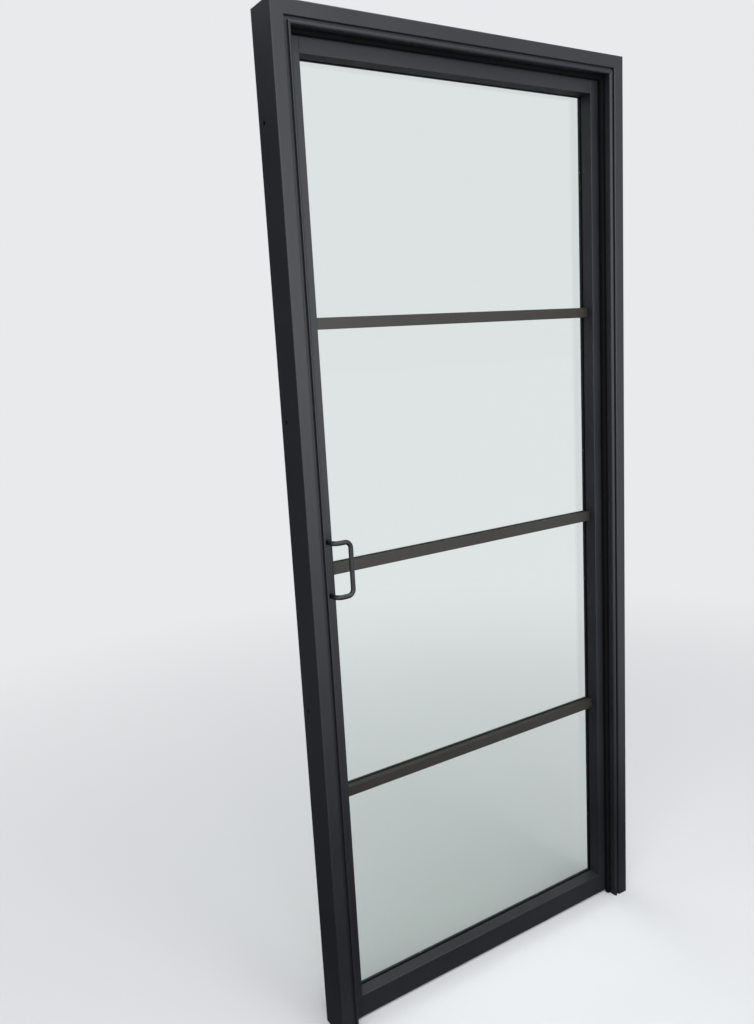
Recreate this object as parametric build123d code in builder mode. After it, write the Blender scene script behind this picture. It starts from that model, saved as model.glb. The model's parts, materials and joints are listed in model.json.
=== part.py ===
"""A single glazed steel door in its own three-sided frame.

The leaf is one sheet of toughened glass in a slim welded tube frame, divided into four
equal fields by bars that are bonded to both faces of the glass. It hangs on three
weld-on barrel hinges at the back of the right jamb and swings away from the viewer,
off a rubber seal behind the frame's stop. A roller catch in the top rail holds it shut.

Axes: X to the right across the door, Y from the front face to the back, Z up.
The origin is on the floor, in the middle of the frame's width and of the leaf's thickness.
All lengths are in millimetres.
"""

import os

from build123d import *

os.makedirs("parts", exist_ok=True)

# Frame
frame_width = 890.0
frame_height = 2100.0
frame_face = 28.0
frame_wall = 3.0
tube_round = 3.0
groove_width = 7.0
groove_depth = 6.0
lip_width = 6.5
lip_round = 5.0
lip_edge = 1.0
stop_depth = 17.0
stop_wall = 3.0
seal_space = 15.0
fixing_radius = 4.25
fixing_end_distance = 200.0
fixing_inner_spacing = 600.0

# Seals behind the stop, narrow on the handle's side so that its legs pass
seal_overhang = 7.5
handle_seal_overhang = 1.3
seal_base = 3.5
seal_skin = 2.0
seal_corner = 4.0
seal_clearance = 0.3
seal_side_gap = 0.5

# Leaf
leaf_depth = 46.0
leaf_gap = 3.0
floor_gap = 5.0
stile_width = 40.0
top_rail_height = 47.0
bottom_rail_height = 52.5
leaf_wall = 3.0
edge_round = 1.0

# Glass and what holds it
glass_setback = 32.0
glass_thickness = 6.0
glass_bite = 9.0
glass_edge_space = 3.0
front_gasket = 2.0
rear_gasket = 1.5
gasket_inset = 0.5
bead_clearance = 0.1
bead_round = 2.0
packer_length = 80.0

# Glazing bars
bar_count = 3
bar_height = 22.5
bar_front_depth = 14.0
bar_rear_depth = 5.5
bar_wall = 1.5
bar_end_gap = 0.3
bar_tape = 1.0
bar_tape_inset = 1.5

# Countersunk screws in the beads
bead_screw_radius = 1.5
bead_screw_head = 2.75
bead_screw_length = 16.0
bead_screw_spacing = 320.0
screw_clearance = 0.05

# Pull handles, cranked sideways over the glass
handle_radius = 5.0
handle_centres = 111.0
handle_height = 1052.5
handle_edge_distance = 20.0
handle_projection = 43.0
handle_crank = 37.5
handle_bend = 13.0
stud_radius = 3.0
stud_engagement = 10.0

# Hinges
hinge_barrel_radius = 8.0
hinge_barrel_length = 50.0
hinge_pin_radius = 4.5
hinge_running_fit = 0.05
hinge_pin_seat = 6.0
hinge_pin_reach = 38.0
hinge_end_distance = 250.0
hinge_washer = 2.0
hinge_washer_margin = 0.6
hinge_axial_gap = 0.1
hinge_face_gap = 0.5
hinge_wing_length = 20.0
hinge_wing_thickness = 4.0
hinge_round = 3.0

# Roller catch in the top rail and its keep in the head
catch_edge_distance = 70.0
catch_plate_length = 56.0
catch_plate_width = 20.0
catch_plate_thickness = 1.5
catch_case_length = 24.0
catch_case_width = 16.0
catch_case_depth = 30.0
catch_case_floor = 3.0
roller_radius = 6.0
roller_length = 9.0
roller_engagement = 1.2
roller_pin_radius = 1.5
roller_side_gap = 0.2
roller_root_gap = 0.5
plunger_length = 15.0
plunger_margin = 0.3
plunger_body = 6.0
plunger_shoulder = 2.0
plunger_shoulder_depth = 4.0
plunger_ear_round = 2.0
plunger_fit = 0.1
spring_radius = 3.2
spring_wire = 0.5
spring_coils = 4
plate_screw_radius = 1.75
plate_screw_head = 3.25
plate_screw_length = 12.0
plate_screw_spacing = 42.0
keep_margin = 1.4

# Planes of the leaf and the frame, front to back
leaf_front = -leaf_depth / 2
leaf_back = leaf_depth / 2
stop_back = leaf_front - seal_space
frame_front = stop_back - stop_depth
frame_back = leaf_back
glass_front = leaf_front + glass_setback
glass_back = glass_front + glass_thickness
rebate_face = glass_front - front_gasket
bead_front = glass_back + rear_gasket

# Half widths, measured from the middle of the door
frame_half = frame_width / 2
box_half = frame_half - frame_face
leaf_half = box_half - leaf_gap
sight_half = leaf_half - stile_width
rebate_width = glass_bite + glass_edge_space
rebate_half = sight_half + rebate_width
glass_half = sight_half + glass_bite

# Heights above the floor
box_underside = frame_height - frame_face
leaf_top = box_underside - leaf_gap
leaf_bottom = floor_gap
sight_top = leaf_top - top_rail_height
sight_bottom = leaf_bottom + bottom_rail_height
rebate_top = sight_top + rebate_width
rebate_bottom = sight_bottom - rebate_width
leaf_height = leaf_top - leaf_bottom
sight_middle = (sight_top + sight_bottom) / 2
sight_height = sight_top - sight_bottom

# Planes that sections are drawn on: local X runs inwards from the outer face, local Y is world Y
jamb_plane = Plane(origin=(frame_half, 0, frame_height), x_dir=(-1, 0, 0), z_dir=(0, 0, -1))
head_plane = Plane(origin=(-frame_half, 0, frame_height), x_dir=(0, 0, -1), z_dir=(1, 0, 0))
stile_plane = Plane(origin=(leaf_half, 0, leaf_top), x_dir=(-1, 0, 0), z_dir=(0, 0, -1))
top_rail_plane = Plane(origin=(-rebate_half, 0, leaf_top), x_dir=(0, 0, -1), z_dir=(1, 0, 0))
bottom_rail_plane = Plane(origin=(rebate_half, 0, leaf_bottom), x_dir=(0, 0, 1), z_dir=(-1, 0, 0))

# Planes of the frame's two mitres, facing up towards the head
mitre_right = Plane(origin=(frame_half, 0, frame_height), z_dir=(-1, 0, 1))
mitre_left = Plane(origin=(-frame_half, 0, frame_height), z_dir=(1, 0, 1))


def finish(part, name):
    """Name a finished piece and write it to its own file."""
    part.label = name
    export_step(part, f"parts/{name}.step")


def block(x_range, y_range, z_range, mode=Mode.ADD):
    """Add or cut a block given by its limits along each axis."""
    limits = (x_range, y_range, z_range)
    middle = tuple((low + high) / 2 for low, high in limits)
    size = tuple(high - low for low, high in limits)
    with Locations(middle):
        Box(*size, mode=mode)


def rod(centre, direction, radius, length, mode=Mode.ADD):
    """Add or cut a round rod about its centre, along a direction."""
    with Locations(Plane(origin=centre, z_dir=direction)):
        Cylinder(radius, length, mode=mode)


def spaced(count, low, high):
    """Places of count things spread evenly between two limits, half a step in from each."""
    step = (high - low) / count
    return [low + step * (i + 0.5) for i in range(count)]


def countersunk(radius, head_radius, length):
    """One countersunk screw, its head's face on the XY plane and its shank downwards."""
    with BuildPart() as screw:
        with BuildSketch(Plane.XZ):
            with BuildLine():
                Polyline(
                    (0, 0),
                    (head_radius, 0),
                    (radius, radius - head_radius),
                    (radius, -length + radius),
                    (0, -length),
                    close=True,
                )
            make_face()
        revolve(axis=Axis.Z)
    return screw.part


def countersunk_hole(place, radius, head_radius, length):
    """Cut the hole that a countersunk screw fits in, with its clearance."""
    with Locations(place):
        add(
            countersunk(radius + screw_clearance, head_radius + screw_clearance, length),
            mode=Mode.SUBTRACT,
        )


# Frame sections
def stop_outline():
    """Draw the stop: a shallow groove beside the tube, then a lip with a rounded nose."""
    groove_end = frame_face + groove_width
    stop_end = groove_end + lip_width
    with BuildSketch(Plane.XY) as stop:
        with BuildLine():
            Polyline(
                (frame_face - frame_wall, frame_front + groove_depth),
                (groove_end, frame_front + groove_depth),
                (groove_end, frame_front),
                (stop_end, frame_front),
                (stop_end, stop_back),
                (frame_face - frame_wall, stop_back),
                close=True,
            )
        make_face()
        nose = stop.vertices().group_by(Axis.Y)[0].sort_by(Axis.X)
        fillet(nose[-1], radius=lip_round)
        nose = stop.vertices().group_by(Axis.Y)[0].sort_by(Axis.X)
        fillet(nose[0], radius=lip_edge)
    return stop.sketch


def frame_section(plane):
    """Draw the frame's section: a round-cornered tube with a stop along its front inner edge."""
    stop_end = frame_face + groove_width + lip_width
    tube_middle = (frame_face / 2, (frame_front + frame_back) / 2)
    tube_depth = frame_back - frame_front
    hollow = (frame_face + stop_wall / 2, stop_end - stop_wall)
    hollow_y = (frame_front + groove_depth + stop_wall, stop_back - stop_wall)
    with BuildSketch(plane) as section:
        with Locations(tube_middle):
            RectangleRounded(frame_face, tube_depth, tube_round)
        add(stop_outline())
        with Locations(tube_middle):
            Rectangle(frame_face - 2 * frame_wall, tube_depth - 2 * frame_wall,
                      mode=Mode.SUBTRACT)
        with Locations((sum(hollow) / 2, sum(hollow_y) / 2)):
            Rectangle(hollow[1] - hollow[0], hollow_y[1] - hollow_y[0], mode=Mode.SUBTRACT)
    return section.sketch


def jamb_blank():
    """The right jamb before it is drilled: the section from the mitre down to the floor."""
    with BuildPart() as blank:
        extrude(frame_section(jamb_plane), amount=frame_height)
        split(bisect_by=mitre_right, keep=Keep.BOTTOM)
    return blank.part


def fixing_heights():
    """Heights of the four fixings in each jamb."""
    middle = frame_height / 2
    outer = middle - fixing_end_distance
    inner = fixing_inner_spacing / 2
    return [middle - outer, middle - inner, middle + inner, middle + outer]


def drill_fixings(side):
    """Drill the fixings across a jamb, in the rebate that the closed leaf covers."""
    for height in fixing_heights():
        rod((side * (frame_half - frame_face / 2), 0, height), (1, 0, 0),
            fixing_radius, frame_face + 2 * frame_wall, Mode.SUBTRACT)


with BuildPart() as jamb_right:
    add(jamb_blank())
    drill_fixings(1)
finish(jamb_right.part, "jamb_right")

with BuildPart() as jamb_left:
    add(jamb_blank().mirror(Plane.YZ))
    drill_fixings(-1)
finish(jamb_left.part, "jamb_left")

# Head, with the pocket that the catch's keep is let into
catch_x = -(leaf_half - catch_edge_distance)
plate_screws = [catch_x - plate_screw_spacing / 2, catch_x + plate_screw_spacing / 2]
plate_x = (catch_x - catch_plate_length / 2, catch_x + catch_plate_length / 2)
plate_y = (-catch_plate_width / 2, catch_plate_width / 2)
keep_z = (box_underside, box_underside + catch_plate_thickness)

with BuildPart() as frame_head:
    extrude(frame_section(head_plane), amount=frame_width)
    split(bisect_by=mitre_right, keep=Keep.TOP)
    split(bisect_by=mitre_left, keep=Keep.TOP)
    block(plate_x, plate_y, keep_z, Mode.SUBTRACT)
    for x in plate_screws:
        rod((x, 0, box_underside + frame_wall / 2), (0, 0, 1),
            plate_screw_radius + screw_clearance, 2 * frame_wall, Mode.SUBTRACT)
finish(frame_head.part, "frame_head")

# Keep for the roller, flush with the head's underside, with a window for the roller
keep_window = (2 * (roller_radius**2 - (roller_radius - roller_engagement) ** 2) ** 0.5
               + 2 * keep_margin)
with BuildPart() as catch_keep:
    block(plate_x, plate_y, keep_z)
    block((catch_x - roller_length / 2 - keep_margin, catch_x + roller_length / 2 + keep_margin),
          (-keep_window / 2, keep_window / 2), keep_z, Mode.SUBTRACT)
    for x in plate_screws:
        place = Location(Plane(origin=(x, 0, box_underside), z_dir=(0, 0, -1)))
        countersunk_hole(place, plate_screw_radius, plate_screw_head, plate_screw_length)
finish(catch_keep.part, "catch_keep")

with BuildPart() as keep_screws:
    for x in plate_screws:
        with Locations(Plane(origin=(x, 0, box_underside), z_dir=(0, 0, -1))):
            add(countersunk(plate_screw_radius, plate_screw_head, plate_screw_length))
finish(keep_screws.part, "keep_screws")


# Seals
def seal_section(plane, overhang):
    """Draw a seal: a foot on the stop's back and a hollow bulb that the leaf closes on."""
    stop_end = frame_face + groove_width + lip_width
    outer = frame_face + seal_side_gap
    inner = stop_end + overhang
    bulb_back = leaf_front - seal_clearance
    bulb_front = stop_back + seal_base
    bulb_middle = ((outer + inner) / 2, (bulb_front + bulb_back) / 2)
    bulb_size = (inner - outer, bulb_back - bulb_front)
    foot_end = stop_end - seal_side_gap
    with BuildSketch(plane) as section:
        with Locations(bulb_middle):
            RectangleRounded(*bulb_size, seal_corner)
        with Locations(((outer + foot_end) / 2, (stop_back + bulb_middle[1]) / 2)):
            Rectangle(foot_end - outer, bulb_middle[1] - stop_back)
        with Locations(bulb_middle):
            RectangleRounded(bulb_size[0] - 2 * seal_skin, bulb_size[1] - 2 * seal_skin,
                             seal_corner - seal_skin, mode=Mode.SUBTRACT)
    return section.sketch


with BuildPart() as seal_right:
    extrude(seal_section(jamb_plane, seal_overhang), amount=frame_height)
    split(bisect_by=mitre_right, keep=Keep.BOTTOM)
finish(seal_right.part, "seal_right")

with BuildPart() as seal_head:
    seal_end = frame_face + seal_side_gap
    extrude(seal_section(head_plane.offset(seal_end), seal_overhang),
            amount=frame_width - seal_end)
    split(bisect_by=mitre_right, keep=Keep.TOP)
finish(seal_head.part, "seal_head")

with BuildPart() as seal_left:
    below = frame_face + groove_width + lip_width + seal_overhang
    narrow = seal_section(jamb_plane.offset(below), handle_seal_overhang)
    extrude(narrow.mirror(Plane.YZ), amount=frame_height - below, dir=(0, 0, -1))
finish(seal_left.part, "seal_left")


# Leaf members
def member_outline(plane, width):
    """Draw a leaf member's outline: a rectangle with the glazing rebate at its back inner corner."""
    with BuildSketch(plane) as outline:
        with BuildLine():
            Polyline(
                (0, leaf_front),
                (width, leaf_front),
                (width, rebate_face),
                (width - rebate_width, rebate_face),
                (width - rebate_width, leaf_back),
                (0, leaf_back),
                close=True,
            )
        make_face()
    return outline


def member(plane, width, length, closed_end):
    """A hollow leaf member, with end plates of the given thickness inside its length."""
    with BuildPart() as tube:
        with BuildSketch(plane) as outer:
            add(member_outline(Plane.XY, width).sketch)
            fillet(outer.vertices().group_by(Axis.Y)[0], radius=edge_round)
        extrude(amount=length)
        with BuildSketch(plane.offset(closed_end)):
            add(member_outline(Plane.XY, width).sketch)
            offset(amount=-leaf_wall, kind=Kind.INTERSECTION, mode=Mode.REPLACE)
        extrude(amount=length - 2 * closed_end, mode=Mode.SUBTRACT)
    return tube.part


def bead_screw_heights():
    """Heights of the screws in the upright beads."""
    return spaced(round(sight_height / bead_screw_spacing), sight_bottom, sight_top)


def bead_screw_places():
    """Places of the screws along the level beads."""
    return spaced(round(2 * sight_half / bead_screw_spacing), -sight_half, sight_half)


bead_middle = (bead_front + leaf_back) / 2


def drill_stile(side):
    """Drill the bead screws' holes in a stile."""
    for height in bead_screw_heights():
        rod((side * (rebate_half + leaf_wall / 2), bead_middle, height), (1, 0, 0),
            bead_screw_radius + screw_clearance, 2 * leaf_wall, Mode.SUBTRACT)


def drill_rail(height):
    """Drill the bead screws' holes in a rail."""
    for x in bead_screw_places():
        rod((x, bead_middle, height), (0, 0, 1),
            bead_screw_radius + screw_clearance, 2 * leaf_wall, Mode.SUBTRACT)


def cope_rail(z_range):
    """Cut a rail's front back at both ends, where the stiles' front edges stand."""
    block((-rebate_half, -sight_half), (leaf_front, rebate_face), z_range, Mode.SUBTRACT)
    block((sight_half, rebate_half), (leaf_front, rebate_face), z_range, Mode.SUBTRACT)


stud_x = -(leaf_half - handle_edge_distance)
stud_heights = [handle_height - handle_centres / 2, handle_height + handle_centres / 2]

with BuildPart() as stile_hinge:
    add(member(stile_plane, stile_width, leaf_height, leaf_wall))
    drill_stile(1)
finish(stile_hinge.part, "stile_hinge")

with BuildPart() as stile_handle:
    add(member(stile_plane, stile_width, leaf_height, leaf_wall).mirror(Plane.YZ))
    drill_stile(-1)
    for height in stud_heights:
        rod((stud_x, 0, height), (0, 1, 0), stud_radius + leaf_gap / 10, leaf_depth, Mode.SUBTRACT)
finish(stile_handle.part, "stile_handle")

case_x = (catch_x - catch_case_length / 2, catch_x + catch_case_length / 2)
case_y = (-catch_case_width / 2, catch_case_width / 2)
plate_bottom = leaf_top - catch_plate_thickness

with BuildPart() as top_rail:
    add(member(top_rail_plane, top_rail_height, 2 * rebate_half, 0))
    cope_rail((sight_top, leaf_top))
    drill_rail(rebate_top + leaf_wall / 2)
    block(plate_x, plate_y, (plate_bottom, leaf_top), Mode.SUBTRACT)
    block((case_x[0] - plunger_fit, case_x[1] + plunger_fit),
          (case_y[0] - plunger_fit, case_y[1] + plunger_fit),
          (leaf_top - leaf_wall, leaf_top), Mode.SUBTRACT)
    for x in plate_screws:
        rod((x, 0, leaf_top - leaf_wall / 2), (0, 0, 1),
            plate_screw_radius + screw_clearance, 2 * leaf_wall, Mode.SUBTRACT)
finish(top_rail.part, "top_rail")

with BuildPart() as bottom_rail:
    add(member(bottom_rail_plane, bottom_rail_height, 2 * rebate_half, 0))
    cope_rail((leaf_bottom, sight_bottom))
    drill_rail(rebate_bottom - leaf_wall / 2)
finish(bottom_rail.part, "bottom_rail")

# Glass
glass_top = sight_top + glass_bite
glass_bottom = sight_bottom - glass_bite
with BuildPart() as glass:
    block((-glass_half, glass_half), (glass_front, glass_back), (glass_bottom, glass_top))
finish(glass.part, "glass")


# Gaskets, one ring on each face of the glass
def gasket_ring(front, thickness):
    """A flat ring round the edge of the glass, just behind the sight line."""
    with BuildPart() as ring:
        with BuildSketch(Plane(origin=(0, front, sight_middle), x_dir=(1, 0, 0), z_dir=(0, 1, 0))):
            Rectangle(2 * glass_half, sight_height + 2 * glass_bite)
            Rectangle(2 * (sight_half + gasket_inset), sight_height + 2 * gasket_inset,
                      mode=Mode.SUBTRACT)
        extrude(amount=thickness)
    return ring.part


with BuildPart() as gasket_front:
    add(gasket_ring(rebate_face, front_gasket))
finish(gasket_front.part, "gasket_front")

with BuildPart() as gasket_rear:
    add(gasket_ring(glass_back, rear_gasket))
finish(gasket_rear.part, "gasket_rear")

# Packers that carry the glass and centre it in the rebate
with BuildPart() as glazing_packers:
    for x in spaced(2, -glass_half, glass_half):
        along = (x - packer_length / 2, x + packer_length / 2)
        block(along, (glass_front, glass_back), (rebate_bottom, glass_bottom))
        block(along, (glass_front, glass_back), (glass_top, rebate_top))
    for height in spaced(2, glass_bottom, glass_top):
        upright = (height - packer_length / 2, height + packer_length / 2)
        block((-rebate_half, -glass_half), (glass_front, glass_back), upright)
        block((glass_half, rebate_half), (glass_front, glass_back), upright)
finish(glazing_packers.part, "glazing_packers")


# Beads at the back of the glass
def bead(plane, length):
    """A bead with its back edge next to the glass rounded; local X runs from the sight line out."""
    with BuildPart() as strip:
        with BuildSketch(plane):
            width = rebate_width - bead_clearance
            with Locations((width / 2, bead_middle)):
                profile = Rectangle(width, leaf_back - bead_front)
            fillet(profile.vertices().group_by(Axis.X)[0].sort_by(Axis.Y)[-1], radius=bead_round)
        extrude(amount=length)
    return strip.part


upright_length = rebate_top - rebate_bottom - 2 * bead_clearance
upright_plane = Plane(
    origin=(sight_half, 0, rebate_bottom + bead_clearance), x_dir=(1, 0, 0), z_dir=(0, 0, 1))

with BuildPart() as bead_right:
    add(bead(upright_plane, upright_length))
    for height in bead_screw_heights():
        place = Location(Plane(origin=(sight_half, bead_middle, height), z_dir=(-1, 0, 0)))
        countersunk_hole(place, bead_screw_radius, bead_screw_head, bead_screw_length)
finish(bead_right.part, "bead_right")

with BuildPart() as bead_left:
    add(bead_right.part.mirror(Plane.YZ))
finish(bead_left.part, "bead_left")

with BuildPart() as bead_top:
    add(bead(Plane(origin=(-sight_half, 0, sight_top), x_dir=(0, 0, 1), z_dir=(-1, 0, 0))
             .offset(-2 * sight_half), 2 * sight_half))
    for x in bead_screw_places():
        place = Location(Plane(origin=(x, bead_middle, sight_top), z_dir=(0, 0, -1)))
        countersunk_hole(place, bead_screw_radius, bead_screw_head, bead_screw_length)
finish(bead_top.part, "bead_top")

with BuildPart() as bead_bottom:
    add(bead(Plane(origin=(-sight_half, 0, sight_bottom), x_dir=(0, 0, -1), z_dir=(1, 0, 0)),
             2 * sight_half))
    for x in bead_screw_places():
        place = Location(Plane(origin=(x, bead_middle, sight_bottom), z_dir=(0, 0, 1)))
        countersunk_hole(place, bead_screw_radius, bead_screw_head, bead_screw_length)
finish(bead_bottom.part, "bead_bottom")

with BuildPart() as bead_screws:
    one = countersunk(bead_screw_radius, bead_screw_head, bead_screw_length)
    for height in bead_screw_heights():
        with Locations(Plane(origin=(sight_half, bead_middle, height), z_dir=(-1, 0, 0))):
            add(one)
        with Locations(Plane(origin=(-sight_half, bead_middle, height), z_dir=(1, 0, 0))):
            add(one)
    for x in bead_screw_places():
        with Locations(Plane(origin=(x, bead_middle, sight_top), z_dir=(0, 0, -1))):
            add(one)
        with Locations(Plane(origin=(x, bead_middle, sight_bottom), z_dir=(0, 0, 1))):
            add(one)
finish(bead_screws.part, "bead_screws")


# Glazing bars on both faces of the glass, with the tape that bonds them
def bar_heights():
    """Heights of the middles of the bars, lowest first, which leave equal fields of glass."""
    field = (sight_height - bar_count * bar_height) / (bar_count + 1)
    return [sight_bottom + (i + 1) * field + (i + 0.5) * bar_height for i in range(bar_count)]


bar_length = 2 * (sight_half - bar_end_gap)


def glazing_bar(front, back, height):
    """A hollow bar across the opening, with its edges just broken."""
    with BuildPart() as tube:
        with BuildSketch(Plane(origin=(-bar_length / 2, (front + back) / 2, height),
                               x_dir=(0, 1, 0), z_dir=(1, 0, 0))):
            RectangleRounded(back - front, bar_height, edge_round / 2)
            Rectangle(back - front - 2 * bar_wall, bar_height - 2 * bar_wall, mode=Mode.SUBTRACT)
        extrude(amount=bar_length)
    return tube.part


for number, height in enumerate(bar_heights(), start=1):
    with BuildPart() as bar_front:
        add(glazing_bar(glass_front - bar_tape - bar_front_depth, glass_front - bar_tape, height))
    finish(bar_front.part, f"bar_front_{number}")
    with BuildPart() as bar_rear:
        add(glazing_bar(glass_back + bar_tape, glass_back + bar_tape + bar_rear_depth, height))
    finish(bar_rear.part, f"bar_rear_{number}")

tape_half = bar_height / 2 - bar_tape_inset
with BuildPart() as bar_tapes:
    for height in bar_heights():
        for start in (glass_front - bar_tape, glass_back):
            block((-bar_length / 2, bar_length / 2), (start, start + bar_tape),
                  (height - tape_half, height + tape_half))
finish(bar_tapes.part, "bar_tapes")


# Pull handles
def pull_handle():
    """The front handle: a round bar that leaves the stile, cranks over the glass and drops down."""
    low, high = stud_heights
    out = leaf_front - handle_projection
    with BuildPart() as pull:
        with BuildLine() as path:
            FilletPolyline(
                (stud_x, leaf_front, high),
                (stud_x, out, high),
                (stud_x + handle_crank, out, high),
                (stud_x + handle_crank, out, low),
                (stud_x, out, low),
                (stud_x, leaf_front, low),
                radius=handle_bend,
            )
        with BuildSketch(Plane(origin=path.line @ 0, z_dir=path.line % 0)):
            Circle(handle_radius)
        sweep()
        for height in stud_heights:
            rod((stud_x, leaf_front - stud_engagement / 2, height), (0, 1, 0),
                stud_radius + screw_clearance, stud_engagement, Mode.SUBTRACT)
    return pull.part


with BuildPart() as handle_front:
    add(pull_handle())
finish(handle_front.part, "handle_front")

with BuildPart() as handle_rear:
    add(pull_handle().mirror(Plane.XZ))
finish(handle_rear.part, "handle_rear")

with BuildPart() as handle_studs:
    for height in stud_heights:
        rod((stud_x, 0, height), (0, 1, 0), stud_radius, leaf_depth + 2 * stud_engagement)
finish(handle_studs.part, "handle_studs")


# Hinges: the lower barrel is welded to the jamb's back, the upper one to the stile's back
hinge_x = (box_half + leaf_half) / 2
hinge_y = leaf_back + hinge_face_gap + hinge_barrel_radius
wing_start = leaf_gap / 2 + hinge_face_gap


def hinge_barrel(side, bottom, bore_radius, bore_bottom, bore_top, rounded_end):
    """A barrel with a wing on the door's back face; side is 1 for the jamb and -1 for the stile."""
    with BuildPart() as barrel:
        rod((hinge_x, hinge_y, bottom + hinge_barrel_length / 2), (0, 0, 1),
            hinge_barrel_radius, hinge_barrel_length)
        ends = barrel.edges().filter_by(GeomType.CIRCLE).group_by(Axis.Z)
        fillet(ends[rounded_end], radius=hinge_round)
        wing_ends = sorted((hinge_x + side * wing_start,
                            hinge_x + side * (wing_start + hinge_wing_length)))
        block(wing_ends, (leaf_back, leaf_back + hinge_wing_thickness),
              (bottom + hinge_round, bottom + hinge_barrel_length - hinge_round))
        rod((hinge_x, hinge_y, (bore_bottom + bore_top) / 2), (0, 0, 1),
            bore_radius, bore_top - bore_bottom, Mode.SUBTRACT)
    return barrel.part


hinge_heights = [
    leaf_bottom + hinge_end_distance,
    (leaf_bottom + leaf_top) / 2,
    leaf_top - hinge_end_distance,
]
for number, height in enumerate(hinge_heights, start=1):
    lower_top = height - hinge_washer / 2
    lower_bottom = lower_top - hinge_barrel_length
    upper_bottom = height + hinge_washer / 2 + hinge_axial_gap
    pin_bottom = lower_bottom + hinge_pin_seat
    pin_top = upper_bottom + hinge_pin_reach
    with BuildPart() as hinge_lower:
        add(hinge_barrel(1, lower_bottom, hinge_pin_radius, pin_bottom, lower_top, 0))
    finish(hinge_lower.part, f"hinge_lower_{number}")
    with BuildPart() as hinge_upper:
        add(hinge_barrel(-1, upper_bottom, hinge_pin_radius + hinge_running_fit,
                         upper_bottom, pin_top + hinge_washer, -1))
    finish(hinge_upper.part, f"hinge_upper_{number}")
    with BuildPart() as hinge_pin:
        rod((hinge_x, hinge_y, (pin_bottom + pin_top) / 2), (0, 0, 1),
            hinge_pin_radius, pin_top - pin_bottom)
        chamfer(hinge_pin.edges().group_by(Axis.Z)[-1], length=hinge_pin_radius / 4)
    finish(hinge_pin.part, f"hinge_pin_{number}")
    with BuildPart() as hinge_washer_ring:
        rod((hinge_x, hinge_y, height), (0, 0, 1),
            hinge_barrel_radius - hinge_washer_margin, hinge_washer)
        rod((hinge_x, hinge_y, height), (0, 0, 1),
            hinge_pin_radius + hinge_running_fit, hinge_washer, Mode.SUBTRACT)
    finish(hinge_washer_ring.part, f"hinge_washer_{number}")

# Roller catch: the roller stands out of the top rail, into the keep's window
roller_z = leaf_top + leaf_gap + roller_engagement - roller_radius
ear_top = roller_z + 2 * roller_pin_radius
slot_floor = roller_z - roller_radius - roller_root_gap
shoulder_top = slot_floor - plunger_body + plunger_shoulder_depth
shoulder_bottom = shoulder_top - plunger_shoulder_depth
case_bottom = leaf_top - catch_case_depth
cavity_bottom = case_bottom + catch_case_floor
plunger_half = plunger_length / 2
plunger_width = 2 * (roller_radius + plunger_margin)
shoulder_half = plunger_half + plunger_shoulder
channel_y = (-plunger_width / 2 - plunger_fit, plunger_width / 2 + plunger_fit)

with BuildPart() as catch_case:
    block(plate_x, plate_y, (plate_bottom, leaf_top))
    block(case_x, case_y, (case_bottom, plate_bottom))
    block((catch_x - plunger_half - plunger_fit, catch_x + plunger_half + plunger_fit),
          channel_y, (cavity_bottom, leaf_top), Mode.SUBTRACT)
    block((catch_x - shoulder_half - plunger_fit, catch_x + shoulder_half + plunger_fit),
          channel_y, (cavity_bottom, shoulder_top + plunger_fit), Mode.SUBTRACT)
    for x in plate_screws:
        place = Location(Plane(origin=(x, 0, leaf_top), z_dir=(0, 0, 1)))
        countersunk_hole(place, plate_screw_radius, plate_screw_head, plate_screw_length)
finish(catch_case.part, "catch_case")

with BuildPart() as catch_screws:
    for x in plate_screws:
        with Locations(Plane(origin=(x, 0, leaf_top), z_dir=(0, 0, 1))):
            add(countersunk(plate_screw_radius, plate_screw_head, plate_screw_length))
finish(catch_screws.part, "catch_screws")

slot_half = roller_length / 2 + roller_side_gap
with BuildPart() as catch_plunger:
    block((catch_x - plunger_half, catch_x + plunger_half),
          (-plunger_width / 2, plunger_width / 2), (shoulder_bottom, ear_top))
    top_edges = catch_plunger.edges().filter_by(Axis.X).group_by(Axis.Z)[-1]
    fillet(top_edges, radius=plunger_ear_round)
    block((catch_x - slot_half, catch_x + slot_half),
          (-plunger_width / 2, plunger_width / 2), (slot_floor, ear_top), Mode.SUBTRACT)
    block((catch_x - shoulder_half, catch_x + shoulder_half),
          (-plunger_width / 2, plunger_width / 2), (shoulder_bottom, shoulder_top))
    rod((catch_x, 0, roller_z), (1, 0, 0), roller_pin_radius, plunger_length, Mode.SUBTRACT)
finish(catch_plunger.part, "catch_plunger")

with BuildPart() as catch_pin:
    rod((catch_x, 0, roller_z), (1, 0, 0), roller_pin_radius, plunger_length)
finish(catch_pin.part, "catch_pin")

with BuildPart() as catch_roller:
    rod((catch_x, 0, roller_z), (1, 0, 0), roller_radius, roller_length)
    chamfer(catch_roller.edges().filter_by(GeomType.CIRCLE), length=roller_side_gap * 2)
    rod((catch_x, 0, roller_z), (1, 0, 0), roller_pin_radius + hinge_running_fit,
        roller_length, Mode.SUBTRACT)
finish(catch_roller.part, "catch_roller")

spring_length = shoulder_bottom - cavity_bottom
with BuildPart() as catch_spring:
    rise = spring_length - 2 * spring_wire
    with BuildLine() as coil:
        Helix(rise / spring_coils, rise, spring_radius,
              center=(catch_x, 0, cavity_bottom + spring_wire))
    with BuildSketch(Plane(origin=coil.line @ 0, z_dir=coil.line % 0)):
        Circle(spring_wire)
    sweep(is_frenet=True)
finish(catch_spring.part, "catch_spring")
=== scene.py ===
import json
import math

import bmesh
import bpy
from mathutils import Matrix, Vector


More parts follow.
